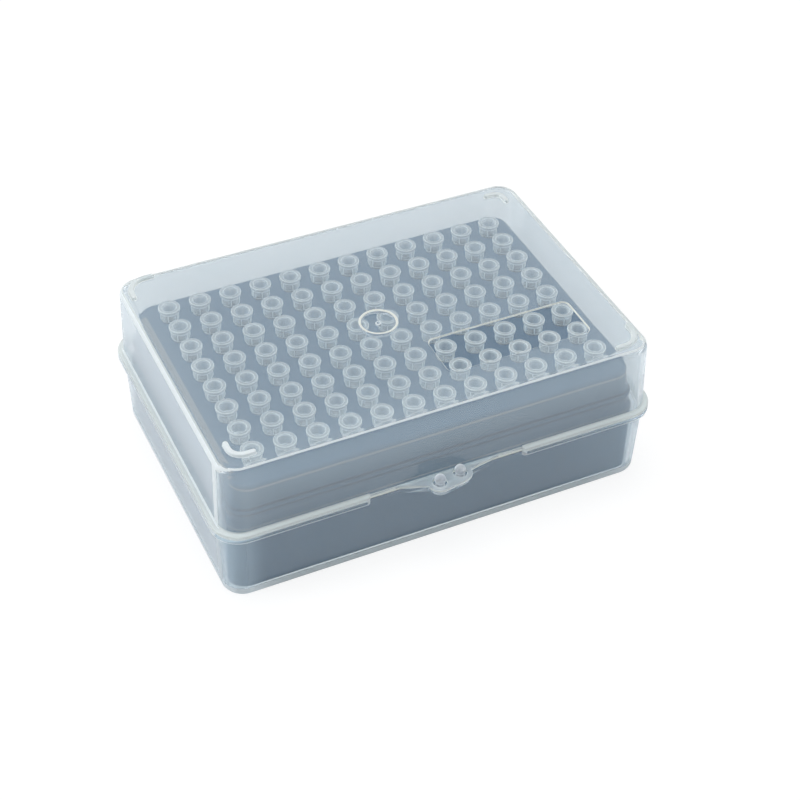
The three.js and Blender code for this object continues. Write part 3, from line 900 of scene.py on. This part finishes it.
def make_tips(materials):
    """All 96 tips. Every other one stands for its own solid, and all of them ride on the base."""
    mesh = make_tip_mesh()
    for material in materials:
        mesh.materials.append(material)
    for column in range(COLUMNS):
        for row in range(ROWS):
            place = grid_place(column, row)
            grid_name = f"{'ABCDEFGH'[row]}{column + 1}"
            tip = bpy.data.objects.new(f"pipette_tip_{grid_name}", mesh)
            bpy.context.scene.collection.objects.link(tip)
            tip.location = Vector((place.x, place.y, TIP_TOP - sag_at(place.x, place.y))) * MM
            tip.rotation_euler.z = math.radians(TIP_TURN * (5 * column + 3 * row))
            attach(tip, "base")
            if (column + row) % 2 == 0:
                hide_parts(f"tip_{grid_name}")


# ---- Node helpers -------------------------------------------------------------------------


def node(tree, kind, **values):
    made = tree.nodes.new(kind)
    for key, value in values.items():
        if hasattr(made, key):
            setattr(made, key, value)
        else:
            made.inputs[key.replace("_", " ")].default_value = value
    return made


def maths(tree, operation, a, b, clamp=False):
    made = node(tree, "ShaderNodeMath", operation=operation, use_clamp=clamp)
    for socket, value in zip(made.inputs, (a, b)):
        if isinstance(value, (int, float)):
            socket.default_value = value
        else:
            tree.links.new(value, socket)
    return made.outputs[0]


def spread(tree, value, low, high, to_low, to_high):
    """Maps a value from one range to another, clamped."""
    made = node(tree, "ShaderNodeMapRange", From_Min=low, From_Max=high, To_Min=to_low, To_Max=to_high)
    tree.links.new(value, made.inputs["Value"])
    return made.outputs["Result"]


def new_group(name, inputs, outputs):
    """An empty node group with its own sockets. inputs are (name, kind, default)."""
    tree = bpy.data.node_groups.new(name, "ShaderNodeTree")
    for label, kind, value in inputs:
        socket = tree.interface.new_socket(label, in_out="INPUT", socket_type=kind)
        socket.default_value = value
    for label, kind in outputs:
        tree.interface.new_socket(label, in_out="OUTPUT", socket_type=kind)
    return tree, tree.nodes.new("NodeGroupInput"), tree.nodes.new("NodeGroupOutput")


def place_group(tree, group, **values):
    made = tree.nodes.new("ShaderNodeGroup")
    made.node_tree = group
    for key, value in values.items():
        made.inputs[key.replace("_", " ")].default_value = value
    return made


FLOAT = "NodeSocketFloat"
COLOUR = "NodeSocketColor"
VECTOR = "NodeSocketVector"

# ---- Effects shared by the plastics -------------------------------------------------------


def make_moulded_group():
    """Cloudy variation of a moulded plastic: its colour, gloss and faint ripple."""
    tree, given, result = new_group(
        "moulded_plastic",
        [("Vector", VECTOR, (0, 0, 0)), ("Base", COLOUR, (1, 1, 1, 1)), ("Cloud", COLOUR, (1, 1, 1, 1)),
         ("Cloud Size", FLOAT, 60.0), ("Roughness", FLOAT, 0.2), ("Roughness Spread", FLOAT, 0.05)],
        [("Color", COLOUR), ("Roughness", FLOAT), ("Height", FLOAT)],
    )
    cloud = node(tree, "ShaderNodeTexNoise", Detail=3.0, Roughness=0.55)
    tree.links.new(given.outputs["Vector"], cloud.inputs["Vector"])
    tree.links.new(given.outputs["Cloud Size"], cloud.inputs["Scale"])
    mask = spread(tree, cloud.outputs["Fac"], 0.35, 0.65, 0.0, 1.0)
    mix = node(tree, "ShaderNodeMix", data_type="RGBA")
    tree.links.new(mask, mix.inputs["Factor"])
    tree.links.new(given.outputs["Base"], mix.inputs["A"])
    tree.links.new(given.outputs["Cloud"], mix.inputs["B"])
    tree.links.new(mix.outputs["Result"], result.inputs["Color"])
    rough = maths(tree, "MULTIPLY", mask, given.outputs["Roughness Spread"])
    rough = maths(tree, "ADD", rough, given.outputs["Roughness"], clamp=True)
    tree.links.new(rough, result.inputs["Roughness"])
    tree.links.new(cloud.outputs["Fac"], result.inputs["Height"])
    return tree


def make_scuff_group():
    """Short thin scratches, as a mask."""
    tree, given, result = new_group(
        "scuffs",
        [("Vector", VECTOR, (0, 0, 0)), ("Scale", FLOAT, 120.0), ("Amount", FLOAT, 0.1)],
        [("Mask", FLOAT)],
    )
    warp = node(tree, "ShaderNodeTexNoise", Scale=70.0, Detail=2.0)
    tree.links.new(given.outputs["Vector"], warp.inputs["Vector"])
    bend = node(tree, "ShaderNodeVectorMath", operation="SCALE", Scale=0.012)
    tree.links.new(warp.outputs["Color"], bend.inputs[0])
    bent = node(tree, "ShaderNodeVectorMath", operation="ADD")
    tree.links.new(given.outputs["Vector"], bent.inputs[0])
    tree.links.new(bend.outputs[0], bent.inputs[1])
    lines = node(tree, "ShaderNodeTexVoronoi", feature="DISTANCE_TO_EDGE")
    tree.links.new(bent.outputs[0], lines.inputs["Vector"])
    tree.links.new(given.outputs["Scale"], lines.inputs["Scale"])
    thin = spread(tree, lines.outputs["Distance"], 0.0, 0.012, 1.0, 0.0)
    patch = node(tree, "ShaderNodeTexNoise", Scale=150.0, Detail=1.0)
    tree.links.new(given.outputs["Vector"], patch.inputs["Vector"])
    broken = spread(tree, patch.outputs["Fac"], 0.62, 0.7, 0.0, 1.0)
    mask = maths(tree, "MULTIPLY", maths(tree, "MULTIPLY", thin, broken), given.outputs["Amount"])
    tree.links.new(mask, result.inputs["Mask"])
    return tree


# ---- Plastics -----------------------------------------------------------------------------


PLASTIC_IOR = 1.49
RIPPLE = 0.04                # strength of the moulded surface's relief


def plastic(name, moulded, scuffs, base, cloud, cloud_size, roughness, scuff_amount):
    """A Principled plastic whose colour, gloss and normal come from the shared effects. roughness
    is its lowest value and how far it spreads."""
    made = bpy.data.materials.new(name)
    made.use_nodes = True
    tree = made.node_tree
    shader = tree.nodes["Principled BSDF"]
    shader.inputs["IOR"].default_value = PLASTIC_IOR
    where = node(tree, "ShaderNodeTexCoord")
    body = place_group(tree, moulded, Base=(*base, 1), Cloud=(*cloud, 1), Cloud_Size=cloud_size,
                       Roughness=roughness[0], Roughness_Spread=roughness[1])
    marks = place_group(tree, scuffs, Amount=scuff_amount)
    for group in (body, marks):
        tree.links.new(where.outputs["Object"], group.inputs["Vector"])
    tree.links.new(body.outputs["Color"], shader.inputs["Base Color"])
    rough = maths(tree, "ADD", body.outputs["Roughness"], marks.outputs["Mask"], clamp=True)
    tree.links.new(rough, shader.inputs["Roughness"])
    height = maths(tree, "ADD", body.outputs["Height"], marks.outputs["Mask"])
    relief = node(tree, "ShaderNodeBump", Strength=RIPPLE, Distance=0.1 * MM)
    tree.links.new(height, relief.inputs["Height"])
    tree.links.new(relief.outputs["Normal"], shader.inputs["Normal"])
    return made, tree, shader


def let_light_in(tree, surface, tint):
    """Lets lamps and soft light reach what is behind clear plastic, tinted as they pass."""
    through = node(tree, "ShaderNodeBsdfTransparent", Color=(*tint, 1))
    path = node(tree, "ShaderNodeLightPath")
    soft = maths(tree, "MAXIMUM", path.outputs["Is Shadow Ray"], path.outputs["Is Diffuse Ray"])
    mix = node(tree, "ShaderNodeMixShader")
    tree.links.new(soft, mix.inputs["Fac"])
    tree.links.new(surface, mix.inputs[1])
    tree.links.new(through.outputs[0], mix.inputs[2])
    tree.links.new(mix.outputs[0], tree.nodes["Material Output"].inputs["Surface"])


# The painted light at the front corners, extra haze that makes them paler, grows or dies away
# over these stretches, in millimetres.
LEFT_CORNER = (-60.0, -51.0)     # along the front wall, in X
RIGHT_CORNER = (30.0, 61.0)
LEFT_TURN = (-40.5, -36.5)       # round the corners to the side walls, in Y
RIGHT_TURN = (-39.0, -30.0)
UNDER_CROWN = (43.0, 45.0)       # up to the lid's rounded edge, in Z
RIGHT_SHARE = 0.58               # of the left corner's painted light that the right one reaches
PALE_ENDS = (44.0, 58.0)         # from the middle out to where the foot's painted light is full


def object_axes(tree):
    """Where a point is on its own piece, as X, Y and Z."""
    where = node(tree, "ShaderNodeTexCoord")
    axis = node(tree, "ShaderNodeSeparateXYZ")
    tree.links.new(where.outputs["Object"], axis.inputs[0])
    return axis.outputs


def over(tree, value, stretch, to_low, to_high):
    """Maps a place within a stretch in millimetres to a share."""
    return spread(tree, value, stretch[0] * MM, stretch[1] * MM, to_low, to_high)


def painted_corner_light(tree):
    """Where painted light makes the front corners paler: 1 at the front wall's left end, falling to 0
    along the wall, and rising again to its right end. It sets how two shaders mix, so its nodes stay in
    the material."""
    axes = object_axes(tree)
    left = over(tree, axes["X"], LEFT_CORNER, 1.0, 0.0)
    right = over(tree, axes["X"], RIGHT_CORNER, 0.0, RIGHT_SHARE)
    in_front = over(tree, axes["Y"], LEFT_TURN, 1.0, 0.0)
    round_right = over(tree, axes["Y"], RIGHT_TURN, 1.0, 0.0)
    below_crown = over(tree, axes["Z"], UNDER_CROWN, 1.0, 0.0)
    left = maths(tree, "MULTIPLY", left, in_front)
    right = maths(tree, "MULTIPLY", right, round_right)
    return maths(tree, "MULTIPLY", maths(tree, "ADD", left, right), below_crown)


def painted_pale_ends(tree, look, scatterers):
    """Painted light: turns the milky colour along the front into a paler one at its left and right ends.
    """
    away = maths(tree, "ABSOLUTE", object_axes(tree)["X"], 0)
    mix = node(tree, "ShaderNodeMix", data_type="RGBA")
    tree.links.new(over(tree, away, PALE_ENDS, 0.0, 1.0), mix.inputs["Factor"])
    mix.inputs["A"].default_value = (*look.milk, 1)
    mix.inputs["B"].default_value = (*look.end_milk, 1)
    for scatterer in scatterers:
        tree.links.new(mix.outputs["Result"], scatterer.inputs["Color"])


def milky(tree, shader, look):
    """Mixes scattering into clear plastic, more of it in glancing views, and at the front corners as
    painted light.
    """
    front = node(tree, "ShaderNodeBsdfDiffuse", Color=(*look.milk, 1))
    behind = node(tree, "ShaderNodeBsdfTranslucent", Color=(*look.milk, 1))
    both = node(tree, "ShaderNodeMixShader", Fac=look.back)
    tree.links.new(front.outputs[0], both.inputs[1])
    tree.links.new(behind.outputs[0], both.inputs[2])
    glance = node(tree, "ShaderNodeLayerWeight", Blend=0.5)
    steep = maths(tree, "POWER", glance.outputs["Facing"], look.power)
    share = maths(tree, "ADD", maths(tree, "MULTIPLY", steep, look.edge_haze), look.haze, clamp=True)
    if look.corner:
        corner = maths(tree, "MULTIPLY", painted_corner_light(tree), look.corner)
        share = maths(tree, "ADD", share, corner, clamp=True)
    if look.end_milk:
        painted_pale_ends(tree, look, (front, behind))
    mix = node(tree, "ShaderNodeMixShader")
    tree.links.new(share, mix.inputs["Fac"])
    tree.links.new(shader.outputs[0], mix.inputs[1])
    tree.links.new(both.outputs[0], mix.inputs[2])
    return mix.outputs[0]


def clear_plastic(name, moulded, scuffs, look):
    """Polypropylene that is partly clear and partly milky."""
    made, tree, shader = plastic(name, moulded, scuffs, look.tint, look.cloud, cloud_size=45.0,
                                 roughness=look.roughness, scuff_amount=look.scuffs)
    shader.inputs["Transmission Weight"].default_value = 1.0
    let_light_in(tree, milky(tree, shader, look), look.shade)
    return made


# A clear plastic's look. tint and cloud are its clear colour, milk the colour that it scatters and
# end_milk a paler one painted as light at the ends, back the share of that which goes through, haze
# the milky share seen head on, edge_haze what glancing views add, power how late they add it, and
# corner the painted light, extra haze, that the front corners add.
# shade tints the light that passes on to the pieces behind.
Look = namedtuple(
    "Look",
    "tint cloud milk haze edge_haze power back roughness scuffs shade corner end_milk",
    defaults=(0.1, (0.9, 0.93, 0.94), 0.0, None),
)
TIP_SHADE = (0.93, 0.96, 0.97)

CLEAR_LOOKS = {
    "lid_clear": Look(tint=(0.86, 0.88, 0.885), cloud=(0.84, 0.87, 0.875), milk=(0.83, 0.91, 0.97),
                      haze=0.185, edge_haze=0.5, power=4.0, back=0.5, roughness=(0.025, 0.015),
                      corner=0.06),
    "lid_thick": Look(tint=(0.86, 0.89, 0.89), cloud=(0.84, 0.88, 0.88), milk=(0.88, 0.90, 0.87),
                      haze=0.52, edge_haze=0.4, power=3.0, back=0.35, roughness=(0.05, 0.04)),
    # Painted highlight: nearly opaque pale milk for the lid's lit edges and lines.
    "lid_painted_light": Look(tint=(0.9, 0.93, 0.92), cloud=(0.88, 0.92, 0.91), milk=(0.84, 0.88, 0.89),
                     haze=0.92, edge_haze=0.08, power=2.0, back=0.2, roughness=(0.05, 0.04)),
    # Painted warm highlight for the lid's cream lines and rings.
    "lid_painted_warm_light": Look(tint=(0.9, 0.93, 0.92), cloud=(0.88, 0.92, 0.91), milk=(0.90, 0.90, 0.83),
                      haze=0.9, edge_haze=0.1, power=2.0, back=0.2, roughness=(0.05, 0.04)),
    "lid_hazy": Look(tint=(0.86, 0.89, 0.90), cloud=(0.84, 0.88, 0.89), milk=(0.86, 0.90, 0.93),
                     haze=0.26, edge_haze=0.4, power=4.0, back=0.5, roughness=(0.025, 0.015)),
    "lid_window": Look(tint=(0.86, 0.89, 0.91), cloud=(0.85, 0.88, 0.90), milk=(0.82, 0.90, 0.96),
                       haze=0.04, edge_haze=0.2, power=4.0, back=0.5, roughness=(0.02, 0.01),
                       scuffs=0.03, shade=(0.95, 0.97, 0.97)),
    "tray_frosted": Look(tint=(0.82, 0.86, 0.88), cloud=(0.80, 0.85, 0.87), milk=(0.76, 0.89, 0.98),
                         haze=0.055, edge_haze=0.5, power=4.0, back=0.5, roughness=(0.03, 0.02),
                         corner=0.32),
    "tray_thick": Look(tint=(0.86, 0.89, 0.89), cloud=(0.84, 0.88, 0.88), milk=(0.93, 0.95, 0.96),
                       haze=0.5, edge_haze=0.6, power=2.0, back=0.35, roughness=(0.05, 0.04)),
    # Painted light for the tray's foot band and its left band: grey milk, paler at both ends.
    "tray_painted_light": Look(tint=(0.8, 0.86, 0.88), cloud=(0.79, 0.85, 0.87), milk=(0.54, 0.60, 0.62),
                      haze=0.88, edge_haze=0.1, power=2.0, back=0.3, roughness=(0.05, 0.04),
                      end_milk=(0.72, 0.77, 0.80)),
    "tray_hazy": Look(tint=(0.98, 0.98, 1.0), cloud=(0.97, 0.97, 0.99), milk=(0.95, 0.96, 1.0),
                      haze=0.27, edge_haze=0.6, power=2.0, back=0.5, roughness=(0.03, 0.02)),
    "tip_clear": Look(tint=(0.97, 0.98, 0.98), cloud=(0.96, 0.97, 0.98), milk=(0.87, 0.88, 0.86),
                      haze=0.04, edge_haze=0.95, power=1.4, back=0.4, roughness=(0.04, 0.03),
                      scuffs=0.0, shade=TIP_SHADE),
    "tip_rim": Look(tint=(0.97, 0.98, 0.98), cloud=(0.96, 0.97, 0.98), milk=(0.88, 0.88, 0.87),
                    haze=0.3, edge_haze=0.6, power=1.5, back=0.3, roughness=(0.04, 0.03),
                    scuffs=0.0, shade=TIP_SHADE),
    # Painted highlight for the tips' lit edges and rib lines.
    "tip_painted_light": Look(tint=(0.92, 0.95, 0.95), cloud=(0.90, 0.94, 0.94), milk=(0.96, 0.97, 0.96),
                     haze=0.85, edge_haze=0.15, power=2.0, back=0.2, roughness=(0.04, 0.03),
                     scuffs=0.0, shade=TIP_SHADE),
}

# Each piece's materials, in the order of the places: walls, thick, painted light, hazy, pane and painted
# warm light.
LID_PLACES = ("lid_clear", "lid_thick", "lid_painted_light", "lid_hazy", "lid_window", "lid_painted_warm_light")
TRAY_PLACES = ("tray_frosted", "tray_thick", "tray_painted_light", "tray_hazy")
TIP_PLACES = ("tip_clear", "tip_rim", "tip_painted_light")

# The rack's blue, its painted sheen and its painted ledge shade, each with its cloudy variant, in the
# order of the rack's places.
RACK_LOOKS = {
    "rack_blue": ((0.045, 0.122, 0.206), (0.04, 0.113, 0.196)),
    "rack_painted_sheen": ((0.26, 0.27, 0.285), (0.24, 0.25, 0.265)),
    "rack_painted_shade": ((0.006, 0.04, 0.09), (0.005, 0.036, 0.085)),
}


def blue_plastic(name, moulded, scuffs, base, cloud):
    return plastic(name, moulded, scuffs, base, cloud, cloud_size=60.0, roughness=(0.17, 0.05),
                   scuff_amount=0.06)[0]


# ---- Room ---------------------------------------------------------------------------------


def seen_white(tree):
    """1 for a ray that meets the room straight, in a mirror or through clear plastic, else 0."""
    path = node(tree, "ShaderNodeLightPath")
    seen = maths(tree, "MAXIMUM", path.outputs["Is Camera Ray"], path.outputs["Is Glossy Ray"])
    return maths(tree, "MAXIMUM", seen, path.outputs["Is Transmission Ray"])


FLOOR_HALF = 20000.0


def make_floor():
    bm = bmesh.new()
    bmesh.ops.create_grid(bm, x_segments=8, y_segments=8, size=FLOOR_HALF)
    floor = finished(bm, "pale_floor")
    made = bpy.data.materials.new("pale_floor")
    made.use_nodes = True
    tree = made.node_tree
    tree.nodes.remove(tree.nodes["Principled BSDF"])
    matt = node(tree, "ShaderNodeBsdfDiffuse", Color=(0.85, 0.85, 0.85, 1))
    shaded = node(tree, "ShaderNodeBsdfDiffuse", Color=(0.2, 0.2, 0.2, 1))
    glow = node(tree, "ShaderNodeEmission", Strength=0.84)
    pale = node(tree, "ShaderNodeAddShader")
    tree.links.new(shaded.outputs[0], pale.inputs[0])
    tree.links.new(glow.outputs[0], pale.inputs[1])
    mix = node(tree, "ShaderNodeMixShader")
    tree.links.new(seen_white(tree), mix.inputs["Fac"])
    tree.links.new(matt.outputs[0], mix.inputs[1])
    tree.links.new(pale.outputs[0], mix.inputs[2])
    tree.links.new(mix.outputs[0], tree.nodes["Material Output"].inputs["Surface"])
    floor.data.materials.append(made)


def make_world():
    world = bpy.data.worlds.new("studio")
    bpy.context.scene.world = world
    world.use_nodes = True
    tree = world.node_tree
    back = tree.nodes["Background"]
    back.inputs["Color"].default_value = (0.94, 0.97, 1.0, 1)
    tree.links.new(spread(tree, seen_white(tree), 0.0, 1.0, 0.35, 1.0), back.inputs["Strength"])


def area_light(name, place, size, watts, colour):
    """A soft lamp that faces the box. Its place and size are in metres."""
    lamp = bpy.data.lights.new(name, "AREA")
    lamp.shape = "RECTANGLE"
    lamp.size, lamp.size_y = size
    lamp.energy = watts
    lamp.color = colour
    made = bpy.data.objects.new(name, lamp)
    bpy.context.scene.collection.objects.link(made)
    made.location = place
    made.rotation_euler = (-Vector(place)).to_track_quat("-Z", "Y").to_euler()
    return made


def make_lights():
    top = area_light("top_softbox", (-0.05, 0.1, 1.0), (0.5, 0.5), 5.8, (1.0, 1.0, 1.0))
    top.visible_glossy = False       # so that the flat lid doesn't mirror it when seen from above
    area_light("left_softbox", (-1.0, 0.3, 0.45), (0.6, 0.6), 5.0, (0.97, 0.99, 1.0))
    area_light("right_softbox", (0.9, -0.7, 0.35), (0.6, 0.6), 2.5, (1.0, 1.0, 1.0))


CAMERA_TURN = -25.48         # degrees about the box
CAMERA_RISE = 41.27          # degrees up
CAMERA_ROLL = 0.92
CAMERA_AWAY = 472.54
CAMERA_ACROSS = 5.92
CAMERA_DOWN = -19.62
CAMERA_AIM_Z = 40.3
LENS = 77.906


def make_camera():
    turn, rise, roll = (math.radians(v) for v in (CAMERA_TURN, CAMERA_RISE, CAMERA_ROLL))
    back = Vector((math.sin(turn) * math.cos(rise), -math.cos(turn) * math.cos(rise), math.sin(rise)))
    level = Vector((math.cos(turn), math.sin(turn), 0))
    upright = back.cross(level)
    across = level * math.cos(roll) + upright * math.sin(roll)
    up = upright * math.cos(roll) - level * math.sin(roll)
    place = back * CAMERA_AWAY + level * CAMERA_ACROSS + upright * CAMERA_DOWN
    place += Vector((0, 0, CAMERA_AIM_Z))
    lens = bpy.data.cameras.new("camera")
    lens.lens = LENS
    lens.sensor_width = 36.0
    lens.clip_start = 0.01
    camera = bpy.data.objects.new("camera", lens)
    bpy.context.scene.collection.objects.link(camera)
    axes = Matrix((across, up, back)).transposed().to_4x4()
    camera.matrix_world = Matrix.Translation(place * MM) @ axes
    bpy.context.scene.camera = camera


# ---- The box ------------------------------------------------------------------------------


def build_box():
    moulded = make_moulded_group()
    scuffs = make_scuff_group()
    clear = {name: clear_plastic(name, moulded, scuffs, look) for name, look in CLEAR_LOOKS.items()}

    lid = make_lid([clear[name] for name in LID_PLACES])
    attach(lid, "lid")
    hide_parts("lid")

    tray = make_base_tray([clear[name] for name in TRAY_PLACES])
    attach(tray, "base")
    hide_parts("base_tray")

    blues = [blue_plastic(name, moulded, scuffs, *look) for name, look in RACK_LOOKS.items()]
    rack = make_tip_rack(blues)
    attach(rack, "base")
    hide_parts("tip_rack")

    make_tips([clear[name] for name in TIP_PLACES])


def set_up_scene():
    scene = bpy.context.scene
    scene.view_settings.view_transform = "Standard"
    scene.cycles.max_bounces = 24
    scene.cycles.transmission_bounces = 24
    scene.cycles.transparent_max_bounces = 48
    make_camera()
    make_world()
    make_lights()
    make_floor()


set_up_scene()
build_box()
